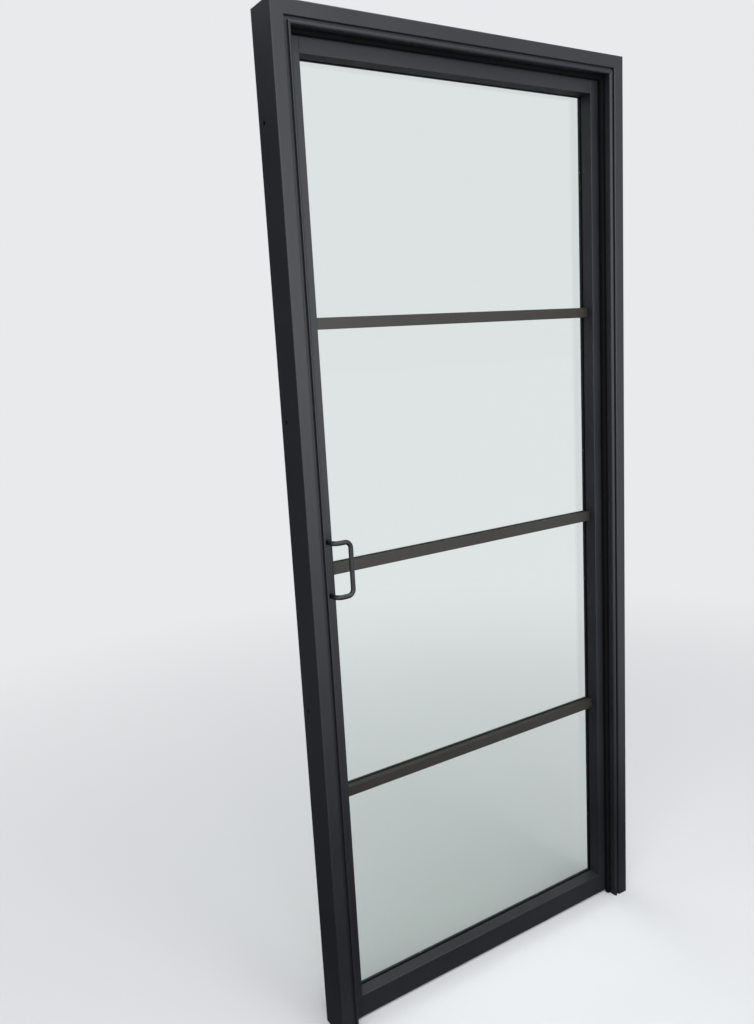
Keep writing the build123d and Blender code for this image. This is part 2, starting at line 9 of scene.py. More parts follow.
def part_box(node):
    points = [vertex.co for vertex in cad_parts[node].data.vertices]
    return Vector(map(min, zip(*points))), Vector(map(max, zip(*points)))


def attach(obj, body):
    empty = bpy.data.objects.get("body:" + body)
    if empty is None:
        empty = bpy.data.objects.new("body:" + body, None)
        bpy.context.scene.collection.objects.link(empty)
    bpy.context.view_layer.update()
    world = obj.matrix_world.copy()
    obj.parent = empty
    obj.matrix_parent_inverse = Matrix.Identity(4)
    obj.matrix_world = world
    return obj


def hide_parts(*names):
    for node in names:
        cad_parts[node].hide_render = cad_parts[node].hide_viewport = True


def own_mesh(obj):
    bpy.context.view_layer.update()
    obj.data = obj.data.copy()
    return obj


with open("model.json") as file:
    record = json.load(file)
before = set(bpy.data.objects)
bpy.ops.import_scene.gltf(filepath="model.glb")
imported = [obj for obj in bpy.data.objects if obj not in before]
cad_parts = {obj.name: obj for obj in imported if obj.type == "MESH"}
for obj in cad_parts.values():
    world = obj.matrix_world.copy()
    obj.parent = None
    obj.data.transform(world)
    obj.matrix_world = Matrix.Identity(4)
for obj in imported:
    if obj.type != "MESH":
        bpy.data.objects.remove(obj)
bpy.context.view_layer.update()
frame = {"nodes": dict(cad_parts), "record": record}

MM = 0.001

# Sizes of the door that the added pieces need, in metres, in the frame's axes
LEAF_BACK = 23 * MM
SIGHT_HALF = 374 * MM
SIGHT_BOTTOM = 57.5 * MM
SIGHT_TOP = 2022 * MM
LEAF_TOP = 2069 * MM
HEAD_UNDERSIDE = 2072 * MM
BEAD_MIDDLE = 19.75 * MM
HANDLE_X = -394 * MM
HANDLE_LOW = 997 * MM
HANDLE_HIGH = 1108 * MM
HANDLE_REACH = 43 * MM
HANDLE_CRANK = 37.5 * MM
HANDLE_RADIUS = 5 * MM
HANDLE_BEND = 13 * MM
CATCH_X = -344 * MM
CATCH_SCREW_SPACING = 42 * MM
SPRING_FOOT = 2042 * MM
SPRING_LENGTH = 12.7 * MM
SPRING_RADIUS = 3.2 * MM
SPRING_WIRE = 0.5 * MM
SPRING_TURNS = 4
HINGE_X = 415.5 * MM
WING_START = 2 * MM
WING_LENGTH = 20 * MM
WING_END = 3 * MM
WELD_START = 2.5 * MM
WELD_SUNK = 0.4 * MM
WELD_CORNER = 2.5 * MM
WELD_STEP = 0.38 * MM

# How a node's mesh is cleaned: points this near are one, facets this flat are one face, and
# edges sharper than this are rounded
MERGE_DISTANCE = 0.001 * MM
FLAT_ANGLE = math.radians(0.2)
SHARP_ANGLE = math.radians(32)
ALONG_AXIS = 0.999


# Small helpers

def linear(code):
    """A colour written as an sRGB hex value, as the opaque linear colour that Blender uses."""
    parts = [int(code[i:i + 2], 16) / 255 for i in (1, 3, 5)]
    red, green, blue = (
        part / 12.92 if part <= 0.04045 else ((part + 0.055) / 1.055) ** 2.4 for part in parts)
    return red, green, blue, 1.0


def node(tree, kind, inputs=None, **settings):
    """Add a node with its settings. An input gets a value, or is linked to a socket or to the
    first output of another node."""
    made = tree.nodes.new(kind)
    for name, value in settings.items():
        setattr(made, name, value)
    for name, value in (inputs or {}).items():
        if isinstance(value, bpy.types.Node):
            value = next(socket for socket in value.outputs if socket.enabled)
        if isinstance(value, bpy.types.NodeSocket):
            tree.links.new(value, made.inputs[name])
        else:
            made.inputs[name].default_value = value
    return made


def new_material(name):
    """A material with an empty tree, and the sockets that give a point's place and normal."""
    material = bpy.data.materials.new(name)
    material.use_nodes = True
    tree = material.node_tree
    tree.nodes.clear()
    return material, tree, node(tree, "ShaderNodeTexCoord").outputs


# Materials

def powder_coat(name, colour, thin_colour, rough, peel_size):
    """Polyester powder coat, sprayed and stoved on steel: satin, with a faint orange peel."""
    material, tree, point = new_material(name)
    place = point["Object"]
    # The film flows out unevenly, so its tone and gloss drift over a hand's width
    drift = node(tree, "ShaderNodeTexNoise", {
        "Vector": place, "Scale": 1 / (160 * MM), "Detail": 3.0})
    thin = node(tree, "ShaderNodeMapRange", {"Value": drift, "From Min": 0.3, "From Max": 0.75})
    tone = node(tree, "ShaderNodeMix", {
        "Factor": thin, "A": linear(colour), "B": linear(thin_colour)}, data_type="RGBA")
    matt = node(tree, "ShaderNodeMapRange", {
        "Value": drift, "From Min": 0.3, "From Max": 0.75,
        "To Min": rough - 0.035, "To Max": rough + 0.045})
    # Dust lies on what faces up, and rain splashes it on the lowest 140 mm
    up = node(tree, "ShaderNodeSeparateXYZ", {"Vector": point["Normal"]}).outputs["Z"]
    ledge = node(tree, "ShaderNodeMapRange", {
        "Value": up, "From Min": 0.6, "From Max": 1.0, "To Max": 0.03})
    clumps = node(tree, "ShaderNodeTexNoise", {
        "Vector": place, "Scale": 1 / (22 * MM), "Detail": 4.0})
    settled = node(tree, "ShaderNodeMath", {0: ledge, 1: clumps}, operation="MULTIPLY")
    height = node(tree, "ShaderNodeSeparateXYZ", {"Vector": place}).outputs["Z"]
    splash = node(tree, "ShaderNodeMapRange", {
        "Value": height, "From Max": 140 * MM, "To Min": 0.05, "To Max": 0.0})
    flecks = node(tree, "ShaderNodeTexNoise", {
        "Vector": place, "Scale": 1 / (9 * MM), "Detail": 5.0})
    splashed = node(tree, "ShaderNodeMath", {0: splash, 1: flecks}, operation="MULTIPLY")
    dust = node(tree, "ShaderNodeMath", {0: settled, 1: splashed}, operation="ADD")
    coat = node(tree, "ShaderNodeMix", {
        "Factor": dust, "A": tone, "B": linear("#7d7a73")}, data_type="RGBA")
    # Orange peel is 1 to 2 mm across in life, and is drawn coarser so that it shows
    peel = node(tree, "ShaderNodeTexNoise", {"Vector": place, "Scale": 1 / peel_size})
    waves = node(tree, "ShaderNodeBump", {
        "Height": peel, "Distance": 0.03 * MM, "Strength": 0.4})
    # The powder's grain is about 0.1 mm in life, and is drawn coarser too
    grain = node(tree, "ShaderNodeTexNoise", {
        "Vector": place, "Scale": 1 / (0.9 * MM), "Detail": 1.0})
    relief = node(tree, "ShaderNodeBump", {
        "Height": grain, "Distance": 0.008 * MM, "Strength": 0.35, "Normal": waves})
    shader = node(tree, "ShaderNodeBsdfPrincipled", {
        "Base Color": coat, "Roughness": matt, "Normal": relief, "Metallic": 0.0, "IOR": 1.5})
    node(tree, "ShaderNodeOutputMaterial", {"Surface": shader})
    return material


def rubber(name, colour, bloom_colour, rough):
    """EPDM rubber, extruded: matt and very dark, with open pores and a grey bloom."""
    material, tree, point = new_material(name)
    bloom = node(tree, "ShaderNodeTexNoise", {
        "Vector": point["Object"], "Scale": 1 / (30 * MM), "Detail": 4.0})
    grey = node(tree, "ShaderNodeMapRange", {"Value": bloom, "From Min": 0.4, "From Max": 0.8})
    tone = node(tree, "ShaderNodeMix", {
        "Factor": grey, "A": linear(colour), "B": linear(bloom_colour)}, data_type="RGBA")
    matt = node(tree, "ShaderNodeMapRange", {
        "Value": bloom, "From Min": 0.3, "From Max": 0.7,
        "To Min": rough - 0.06, "To Max": rough + 0.06})
    # Pores are 0.1 to 0.2 mm wide in life, and are drawn coarser so that they show
    pores = node(tree, "ShaderNodeTexNoise", {"Vector": point["Object"], "Scale": 1 / (0.8 * MM)})
    relief = node(tree, "ShaderNodeBump", {
        "Height": pores, "Distance": 0.02 * MM, "Strength": 0.5})
    shader = node(tree, "ShaderNodeBsdfPrincipled", {
        "Base Color": tone, "Roughness": matt, "Normal": relief, "IOR": 1.5,
        "Specular IOR Level": 0.1})
    node(tree, "ShaderNodeOutputMaterial", {"Surface": shader})
    return material


def clear_glass():
    """Toughened float glass: flat, polished by fire, with its faint green from the iron in it."""
    material, tree, point = new_material("toughened_float_glass")
    # Toughening leaves roller waves about 300 mm long, which only reflections show
    across = node(tree, "ShaderNodeMapping", {"Vector": point["Object"], "Scale": (1.0, 1.0, 2.0)})
    wave = node(tree, "ShaderNodeTexNoise", {
        "Vector": across, "Scale": 1 / (260 * MM), "Detail": 1.0})
    relief = node(tree, "ShaderNodeBump", {
        "Height": wave, "Distance": 0.05 * MM, "Strength": 0.25})
    shader = node(tree, "ShaderNodeBsdfPrincipled", {
        "Base Color": linear("#f1f7f4"), "Roughness": 0.0, "IOR": 1.52,
        "Transmission Weight": 1.0, "Normal": relief})
    # Lamps reach through the pane as they do in life, so its shadow stays light
    shadow_ray = node(tree, "ShaderNodeLightPath").outputs["Is Shadow Ray"]
    through = node(tree, "ShaderNodeBsdfTransparent", {"Color": linear("#e3ebe6")})
    mix = node(tree, "ShaderNodeMixShader", {0: shadow_ray, 1: shader, 2: through})
    node(tree, "ShaderNodeOutputMaterial", {"Surface": mix})
    return material


def drawn_metal(name, colour, bright_colour, rough, line_sizes, depth):
    """Bare metal with the fine lines that grinding, turning or drawing leaves along it."""
    material, tree, point = new_material(name)
    # Tool lines are about 0.05 mm wide in life, and are drawn coarser so that they show
    along = node(tree, "ShaderNodeMapping", {
        "Vector": point["Object"], "Scale": tuple(1 / size for size in line_sizes)})
    lines = node(tree, "ShaderNodeTexNoise", {"Vector": along, "Scale": 1.0, "Detail": 3.0})
    matt = node(tree, "ShaderNodeMapRange", {
        "Value": lines, "From Min": 0.3, "From Max": 0.7,
        "To Min": rough - 0.06, "To Max": rough + 0.08})
    relief = node(tree, "ShaderNodeBump", {"Height": lines, "Distance": depth, "Strength": 0.5})
    cloud = node(tree, "ShaderNodeTexNoise", {
        "Vector": point["Object"], "Scale": 1 / (12 * MM), "Detail": 3.0})
    clear = node(tree, "ShaderNodeMapRange", {"Value": cloud, "From Min": 0.3, "From Max": 0.8})
    tone = node(tree, "ShaderNodeMix", {
        "Factor": clear, "A": linear(colour), "B": linear(bright_colour)}, data_type="RGBA")
    shader = node(tree, "ShaderNodeBsdfPrincipled", {
        "Base Color": tone, "Roughness": matt, "Normal": relief, "Metallic": 1.0})
    node(tree, "ShaderNodeOutputMaterial", {"Surface": shader})
    return material


def moulded_plastic(name, colour, light_colour, rough):
    """Moulded plastic: even, a little waxy, with the fine texture of its tool."""
    material, tree, point = new_material(name)
    cloud = node(tree, "ShaderNodeTexNoise", {"Vector": point["Object"], "Scale": 1 / (8 * MM)})
    light = node(tree, "ShaderNodeMapRange", {"Value": cloud, "From Min": 0.35, "From Max": 0.75})
    tone = node(tree, "ShaderNodeMix", {
        "Factor": light, "A": linear(colour), "B": linear(light_colour)}, data_type="RGBA")
    matt = node(tree, "ShaderNodeMapRange", {
        "Value": cloud, "From Min": 0.3, "From Max": 0.7,
        "To Min": rough - 0.04, "To Max": rough + 0.04})
    # The tool's texture is about 0.1 mm in life, and is drawn coarser so that it shows
    texture = node(tree, "ShaderNodeTexNoise", {
        "Vector": point["Object"], "Scale": 1 / (0.7 * MM)})
    relief = node(tree, "ShaderNodeBump", {
        "Height": texture, "Distance": 0.01 * MM, "Strength": 0.4})
    shader = node(tree, "ShaderNodeBsdfPrincipled", {
        "Base Color": tone, "Roughness": matt, "Normal": relief, "IOR": 1.49})
    node(tree, "ShaderNodeOutputMaterial", {"Surface": shader})
    return material


FRAME_COAT = powder_coat("satin_powder_coat_frame", "#14161b", "#191b21", 0.43, 4.5 * MM)
LEAF_COAT = powder_coat("satin_powder_coat_leaf", "#14161b", "#191b21", 0.43, 4.0 * MM)
# The bars' coat is the door's black coat drawn lighter and warmer, as painted light for the
# brighter light that the thin bars catch
BAR_COAT = powder_coat("satin_powder_coat_bars", "#201e1b", "#282521", 0.42, 3.5 * MM)
HANDLE_COAT = powder_coat("satin_powder_coat_handle", "#121316", "#16171a", 0.38, 2.5 * MM)
# The seal is black rubber drawn darker than the gasket, as painted shade for the deep recess
# between the frame's lip and the leaf
SEAL = rubber("extruded_seal_rubber", "#08080a", "#0e0e0f", 0.85)
GASKET = rubber("extruded_gasket_rubber", "#121213", "#1a1a1a", 0.6)
TAPE = rubber("acrylic_foam_tape", "#1c1c1d", "#252525", 0.8)
GLASS = clear_glass()
# The lines of each metal: their size along x, y and z, and their depth
GROUND_STEEL = drawn_metal("ground_stainless_steel", "#b9bcc0", "#c6c8ca", 0.28,
                           (0.4 * MM, 0.4 * MM, 4 * MM), 0.004 * MM)
BRUSHED_STEEL = drawn_metal("brushed_stainless_steel", "#a9abac", "#bcbdbc", 0.34,
                            (8 * MM, 0.35 * MM, 0.35 * MM), 0.006 * MM)
TURNED_BRASS = drawn_metal("turned_brass", "#c9a55c", "#d8b874", 0.3,
                           (0.4 * MM, 0.4 * MM, 0.4 * MM), 0.004 * MM)
ZINC_STEEL = drawn_metal("zinc_plated_steel", "#8f9296", "#a2a4a6", 0.38,
                         (1.2 * MM, 1.2 * MM, 1.2 * MM), 0.004 * MM)
SPRING_STEEL = drawn_metal("drawn_spring_steel", "#a9abac", "#bcbdbc", 0.3,
                           (0.5 * MM, 0.5 * MM, 0.5 * MM), 0.003 * MM)
PACKER = moulded_plastic("moulded_polypropylene", "#2f4f7d", "#375a8a", 0.5)
NYLON = moulded_plastic("moulded_nylon", "#d8d4c8", "#e2dfd5", 0.42)


# Nodes of the frame, with their edges broken

def body_of_node(name):
    """The body that a node belongs to."""
    for body, names in frame["record"]["behaviour"]["bodies"].items():
        if name in names:
            return body
    raise KeyError(name)


def slot_of_node(name):
    """The material slot that the record gives a node."""
    return next(s["material_slot"] for s in frame["record"]["subparts"] if s["node"] == name)


def place_piece(piece, body, slot, *nodes):
    """Hand a finished piece to its body, and hide the nodes that it stands for. The slot is not
    used.
    """
    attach(piece, body)
    if nodes:
        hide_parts(*nodes)
    return piece


def dress(name, piece_name, material, edge, along=None):
    """Copy a CAD node with its facets merged and its sharp edges rounded, all of them or only
    those along one axis."""
    mesh = frame["nodes"][name].data.copy()
    mesh.name = piece_name
    work = bmesh.new()
    work.from_mesh(mesh)
    bmesh.ops.remove_doubles(work, verts=work.verts, dist=MERGE_DISTANCE)
    bmesh.ops.dissolve_limit(work, angle_limit=FLAT_ANGLE, verts=work.verts, edges=work.edges,
                             delimit={"NORMAL"})
    weights = work.edges.layers.float.new("bevel_weight_edge")
    for line in work.edges:
        sharp = len(line.link_faces) == 2 and line.calc_face_angle(0) > SHARP_ANGLE
        run = (line.verts[1].co - line.verts[0].co).normalized()
        if sharp and (along is None or abs(run[along]) > ALONG_AXIS):
            line[weights] = 1.0
    for face in work.faces:
        face.smooth = True
    work.to_mesh(mesh)
    work.free()
    for line in mesh.edges:
        line.use_edge_sharp = False
    mesh.set_sharp_from_angle(angle=SHARP_ANGLE)
    mesh.materials.clear()
    mesh.materials.append(material)
    piece = bpy.data.objects.new(piece_name, mesh)
    bpy.context.collection.objects.link(piece)
    rounding = piece.modifiers.new("edges", "BEVEL")
    rounding.limit_method = "WEIGHT"
    rounding.width = edge
    rounding.segments = 2
    # Broad faces keep their own normals, so that they stay flat beside the roundings
    flat = piece.modifiers.new("flat_faces", "WEIGHTED_NORMAL")
    flat.keep_sharp = True
    return place_piece(piece, body_of_node(name), slot_of_node(name), name)


X_AXIS, Z_AXIS = 0, 2
MEMBERS = {
    "frame_head": (FRAME_COAT, X_AXIS), "jamb_left": (FRAME_COAT, Z_AXIS),
    "jamb_right": (FRAME_COAT, Z_AXIS), "stile_handle": (LEAF_COAT, Z_AXIS),
    "stile_hinge": (LEAF_COAT, Z_AXIS), "top_rail": (LEAF_COAT, X_AXIS),
    "bottom_rail": (LEAF_COAT, X_AXIS), "bead_left": (LEAF_COAT, Z_AXIS),
    "bead_right": (LEAF_COAT, Z_AXIS), "bead_top": (LEAF_COAT, X_AXIS),
    "bead_bottom": (LEAF_COAT, X_AXIS),
}
for member, (coat, axis) in MEMBERS.items():
    dress(member, f"coated_{member}", coat, 0.5 * MM, axis)
for number in (1, 2, 3):
    for side in ("front", "rear"):
        bar = f"bar_{side}_{number}"
        dress(bar, f"coated_{bar}", BAR_COAT, 0.4 * MM, X_AXIS)
    dress(f"hinge_lower_{number}", f"coated_hinge_lower_{number}", FRAME_COAT, 0.4 * MM)
    dress(f"hinge_upper_{number}", f"coated_hinge_upper_{number}", LEAF_COAT, 0.4 * MM)
    dress(f"hinge_washer_{number}", f"turned_hinge_washer_{number}", TURNED_BRASS, 0.2 * MM)
    dress(f"hinge_pin_{number}", f"ground_hinge_pin_{number}", GROUND_STEEL, 0.2 * MM)
dress("glass", "toughened_glass", GLASS, 0.8 * MM)
dress("catch_case", "brushed_catch_case", BRUSHED_STEEL, 0.15 * MM)
dress("catch_plunger", "brushed_catch_plunger", BRUSHED_STEEL, 0.15 * MM)
dress("catch_keep", "brushed_catch_keep", BRUSHED_STEEL, 0.15 * MM)
dress("catch_roller", "nylon_catch_roller", NYLON, 0.2 * MM)
dress("catch_pin", "ground_catch_pin", GROUND_STEEL, 0.1 * MM)

for name, material in {
    "seal_head": SEAL, "seal_left": SEAL, "seal_right": SEAL, "gasket_front": GASKET,
    "gasket_rear": GASKET, "bar_tapes": TAPE, "glazing_packers": PACKER,
    "handle_studs": ZINC_STEEL,
}.items():
    for held in frame["nodes"][name].material_slots:
        held.material = material


# Geometry Nodes: trees for what repeats or follows a path

def new_tree(name, **sizes):
    """A geometry tree with one mesh in, one mesh out and a named input for each size."""
    tree = bpy.data.node_groups.new(name, "GeometryNodeTree")
    tree.interface.new_socket("Geometry", in_out="INPUT", socket_type="NodeSocketGeometry")
    for label, value in sizes.items():
        socket = tree.interface.new_socket(label, in_out="INPUT", socket_type="NodeSocketFloat")
        socket.default_value = value
    tree.interface.new_socket("Geometry", in_out="OUTPUT", socket_type="NodeSocketGeometry")
    return tree, node(tree, "NodeGroupInput").outputs


def close_tree(tree, geometry, material):
    """End a tree in Realize Instances and Set Material."""
    real = node(tree, "GeometryNodeRealizeInstances", {"Geometry": geometry})
    coloured = node(tree, "GeometryNodeSetMaterial", {
        "Geometry": real.outputs["Geometry"], "Material": material})
    node(tree, "NodeGroupOutput", {"Geometry": coloured.outputs["Geometry"]})


def grow(name, mesh, tree, **sizes):
    """Run a tree on a mesh and keep the result as a plain mesh of its own."""
    seed = bpy.data.objects.new(name, mesh)
    bpy.context.collection.objects.link(seed)
    maker = seed.modifiers.new("make", "NODES")
    maker.node_group = tree
    for item in tree.interface.items_tree:
        if item.in_out == "INPUT" and item.name in sizes:
            maker[item.identifier] = sizes[item.name]
    bpy.context.view_layer.update()
    graph = bpy.context.evaluated_depsgraph_get()
    plain = bpy.data.meshes.new_from_object(seed.evaluated_get(graph), depsgraph=graph)
    seed.modifiers.remove(maker)
    seed.data = plain
    plain.name = name
    return seed


def points_mesh(name, places):
    """A mesh of loose points, each with the direction that its screw's head faces."""
    mesh = bpy.data.meshes.new(name)
    mesh.from_pydata([place for place, way in places], [], [])
    facing = mesh.attributes.new("facing", "FLOAT_VECTOR", "POINT")
    for index, (place, way) in enumerate(places):
        facing.data[index].vector = way
    return mesh


def path_mesh(name, runs):
    """A mesh of open lines, one for each run of points."""
    points, lines = [], []
    for run in runs:
        start = len(points)
        points += run
        lines += [(start + i, start + i + 1) for i in range(len(run) - 1)]
    mesh = bpy.data.meshes.new(name)
    mesh.from_pydata(points, lines, [])
    return mesh


def screw_tree():
    """Countersunk screws with a hexagon socket, one on each point."""
    tree, sizes = new_tree("countersunk_screws", shank_radius=1.5 * MM, head_radius=2.7 * MM,
                           length=16 * MM, socket_width=2 * MM, socket_depth=0.8 * MM)
    head_depth = node(tree, "ShaderNodeMath", {0: sizes["head_radius"], 1: sizes["shank_radius"]},
                      operation="SUBTRACT").outputs[0]
    down = node(tree, "ShaderNodeMath", {0: head_depth, 1: -1.0}, operation="MULTIPLY").outputs[0]
    lowered = node(tree, "ShaderNodeCombineXYZ", {"Z": down}).outputs[0]
    head = node(tree, "GeometryNodeMeshCone", {
        "Vertices": 40, "Radius Bottom": sizes["shank_radius"], "Radius Top": sizes["head_radius"],
        "Depth": head_depth})
    head_placed = node(tree, "GeometryNodeTransform", {
        "Geometry": head.outputs["Mesh"], "Translation": lowered})
    # The key's flats are twice the apothem, so its corners lie further out
    key_radius = node(tree, "ShaderNodeMath", {0: sizes["socket_width"], 1: 1 / math.sqrt(3)},
                      operation="MULTIPLY").outputs[0]
    key_depth = node(tree, "ShaderNodeMath", {0: sizes["socket_depth"], 1: 2.0},
                     operation="MULTIPLY").outputs[0]
    key = node(tree, "GeometryNodeMeshCylinder", {
        "Vertices": 6, "Radius": key_radius, "Depth": key_depth})
    cut = node(tree, "GeometryNodeMeshBoolean", {
        "Mesh 1": head_placed.outputs["Geometry"]}, operation="DIFFERENCE", solver="EXACT")
    tree.links.new(key.outputs["Mesh"], cut.inputs["Mesh 2"])
    shank_length = node(tree, "ShaderNodeMath", {0: sizes["length"], 1: head_depth},
                        operation="SUBTRACT").outputs[0]
    half = node(tree, "ShaderNodeMath", {0: shank_length, 1: -0.5},
                operation="MULTIPLY").outputs[0]
    middle = node(tree, "ShaderNodeMath", {0: half, 1: down}, operation="ADD").outputs[0]
    shank = node(tree, "GeometryNodeMeshCylinder", {
        "Vertices": 24, "Radius": sizes["shank_radius"], "Depth": shank_length})
    shank_place = node(tree, "ShaderNodeCombineXYZ", {"Z": middle}).outputs[0]
    shank_placed = node(tree, "GeometryNodeTransform", {
        "Geometry": shank.outputs["Mesh"], "Translation": shank_place})
    screw = node(tree, "GeometryNodeJoinGeometry")
    for part in (cut.outputs["Mesh"], shank_placed.outputs["Geometry"]):
        tree.links.new(part, screw.inputs["Geometry"])
    way = node(tree, "GeometryNodeInputNamedAttribute", {"Name": "facing"},
               data_type="FLOAT_VECTOR")
    turn = node(tree, "FunctionNodeAlignRotationToVector", {
        "Vector": way.outputs["Attribute"]}, axis="Z")
    spread = node(tree, "GeometryNodeInstanceOnPoints", {
        "Points": sizes["Geometry"], "Instance": screw.outputs["Geometry"],
        "Rotation": turn.outputs["Rotation"]})
    close_tree(tree, spread.outputs["Instances"], ZINC_STEEL)
    return tree


def bar_tree():
    """A round bar bent along a line of points."""
    tree, sizes = new_tree("bent_round_bar", radius=HANDLE_RADIUS, bend=HANDLE_BEND)
    line = node(tree, "GeometryNodeMeshToCurve", {"Mesh": sizes["Geometry"]})
    rounded = node(tree, "GeometryNodeFilletCurve", {
        "Curve": line.outputs["Curve"], "Radius": sizes["bend"], "Count": 14}, mode="POLY")
    ring = node(tree, "GeometryNodeCurvePrimitiveCircle", {
        "Resolution": 40, "Radius": sizes["radius"]})
    bar = node(tree, "GeometryNodeCurveToMesh", {
        "Curve": rounded.outputs["Curve"], "Profile Curve": ring.outputs["Curve"],
        "Fill Caps": True})
    smooth = node(tree, "GeometryNodeSetShadeSmooth", {"Geometry": bar.outputs["Mesh"]})
    close_tree(tree, smooth.outputs["Geometry"], HANDLE_COAT)
    return tree


def weld_tree(material):
    """A fillet weld along each line: a bead that swells and thins once for every drop."""
    tree, sizes = new_tree("fillet_weld", radius=1.7 * MM, ripple=1.9 * MM, swell=0.16)
    line = node(tree, "GeometryNodeMeshToCurve", {"Mesh": sizes["Geometry"]})
    rounded = node(tree, "GeometryNodeFilletCurve", {
        "Curve": line.outputs["Curve"], "Radius": WELD_CORNER, "Count": 6}, mode="POLY")
    fine = node(tree, "GeometryNodeResampleCurve", {
        "Curve": rounded.outputs["Curve"], "Length": WELD_STEP}, mode="LENGTH")
    along = node(tree, "GeometryNodeSplineParameter")
    turns = node(tree, "ShaderNodeMath", {0: along.outputs["Length"], 1: sizes["ripple"]},
                 operation="DIVIDE").outputs[0]
    angle = node(tree, "ShaderNodeMath", {0: turns, 1: 2 * math.pi},
                 operation="MULTIPLY").outputs[0]
    wave = node(tree, "ShaderNodeMath", {0: angle}, operation="SINE").outputs[0]
    swell = node(tree, "ShaderNodeMath", {0: wave, 1: sizes["swell"]},
                 operation="MULTIPLY").outputs[0]
    factor = node(tree, "ShaderNodeMath", {0: swell, 1: 1.0}, operation="ADD").outputs[0]
    ring = node(tree, "GeometryNodeCurvePrimitiveCircle", {
        "Resolution": 12, "Radius": sizes["radius"]})
    bead = node(tree, "GeometryNodeCurveToMesh", {
        "Curve": fine.outputs["Curve"], "Profile Curve": ring.outputs["Curve"],
        "Fill Caps": True, "Scale": factor})
    smooth = node(tree, "GeometryNodeSetShadeSmooth", {"Geometry": bead.outputs["Mesh"]})
    close_tree(tree, smooth.outputs["Geometry"], material)
    return tree


def spring_tree():
    """A coil spring of round wire, standing on a point."""
    tree, sizes = new_tree("coil_spring", coil_radius=SPRING_RADIUS, wire_radius=SPRING_WIRE,
                           turns=SPRING_TURNS, rise=SPRING_LENGTH - 2 * SPRING_WIRE)
    coil = node(tree, "GeometryNodeCurveSpiral", {
        "Resolution": 40, "Rotations": sizes["turns"], "Start Radius": sizes["coil_radius"],
        "End Radius": sizes["coil_radius"], "Height": sizes["rise"]})
    ring = node(tree, "GeometryNodeCurvePrimitiveCircle", {
        "Resolution": 12, "Radius": sizes["wire_radius"]})
    wire = node(tree, "GeometryNodeCurveToMesh", {
        "Curve": coil.outputs["Curve"], "Profile Curve": ring.outputs["Curve"],
        "Fill Caps": True})
    smooth = node(tree, "GeometryNodeSetShadeSmooth", {"Geometry": wire.outputs["Mesh"]})
    stood = node(tree, "GeometryNodeInstanceOnPoints", {
        "Points": sizes["Geometry"], "Instance": smooth.outputs["Geometry"]})
    close_tree(tree, stood.outputs["Instances"], SPRING_STEEL)
    return tree


# The catch's spring, which stands on its foot

spring_place = [((CATCH_X, 0, SPRING_FOOT + SPRING_WIRE), (0, 0, 1))]
spring = grow("coiled_catch_spring", points_mesh("spring_place", spring_place), spring_tree())
place_piece(spring, "leaf", slot_of_node("catch_spring"), "catch_spring")
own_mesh(spring)


# Screws, at places worked out from the door's sizes above

def spaced(count, low, high):
    """Places of count things spread evenly between two limits, half a step in from each."""
    step = (high - low) / count
    return [low + step * (i + 0.5) for i in range(count)]


BEAD_SCREW_HEIGHTS = spaced(6, SIGHT_BOTTOM, SIGHT_TOP)
BEAD_SCREW_ALONG = spaced(2, -SIGHT_HALF, SIGHT_HALF)
bead_places = []
for height in BEAD_SCREW_HEIGHTS:
    bead_places.append(((SIGHT_HALF, BEAD_MIDDLE, height), (-1, 0, 0)))
    bead_places.append(((-SIGHT_HALF, BEAD_MIDDLE, height), (1, 0, 0)))
for x in BEAD_SCREW_ALONG:
    bead_places.append(((x, BEAD_MIDDLE, SIGHT_TOP), (0, 0, -1)))
    bead_places.append(((x, BEAD_MIDDLE, SIGHT_BOTTOM), (0, 0, 1)))
plate_screw_x = [CATCH_X - CATCH_SCREW_SPACING / 2, CATCH_X + CATCH_SCREW_SPACING / 2]

catch_places = [((x, 0, LEAF_TOP), (0, 0, 1)) for x in plate_screw_x]
keep_places = [((x, 0, HEAD_UNDERSIDE), (0, 0, -1)) for x in plate_screw_x]

BEAD_SCREW = {"shank_radius": 1.5 * MM, "head_radius": 2.7 * MM, "length": 16 * MM,
              "socket_width": 2 * MM, "socket_depth": 0.8 * MM}
PLATE_SCREW = {"shank_radius": 1.75 * MM, "head_radius": 3.2 * MM, "length": 12 * MM,
               "socket_width": 2.2 * MM, "socket_depth": 1.0 * MM}
screws = screw_tree()
for name, places, screw, body in (
    ("bead_screws", bead_places, BEAD_SCREW, "leaf"),
    ("catch_screws", catch_places, PLATE_SCREW, "leaf"),
    ("keep_screws", keep_places, PLATE_SCREW, "frame"),
):
    driven = grow(f"socket_{name}", points_mesh(f"{name}_places", places), screws, **screw)
    place_piece(driven, body, "screw_steel", name)


# Pull handles: the bar leaves the stile, cranks over the glass and drops to the lower foot

def handle_route(way):
    """The handle's corners, in front of the leaf or, mirrored, behind it."""
    face = way * LEAF_BACK
    out = face + way * HANDLE_REACH
    grip_x = HANDLE_X + HANDLE_CRANK
    return [
        (HANDLE_X, face, HANDLE_HIGH), (HANDLE_X, out, HANDLE_HIGH), (grip_x, out, HANDLE_HIGH),
        (grip_x, out, HANDLE_LOW), (HANDLE_X, out, HANDLE_LOW), (HANDLE_X, face, HANDLE_LOW),
    ]


bars = bar_tree()
for side, way in (("front", -1), ("rear", 1)):
    line = path_mesh(f"handle_route_{side}", [handle_route(way)])
    pull = grow(f"bent_handle_{side}", line, bars, radius=HANDLE_RADIUS, bend=HANDLE_BEND)
    place_piece(pull, "leaf", "handle_coating", f"handle_{side}")


# Welds round the hinges' wings, on the back faces of the jamb and the stile

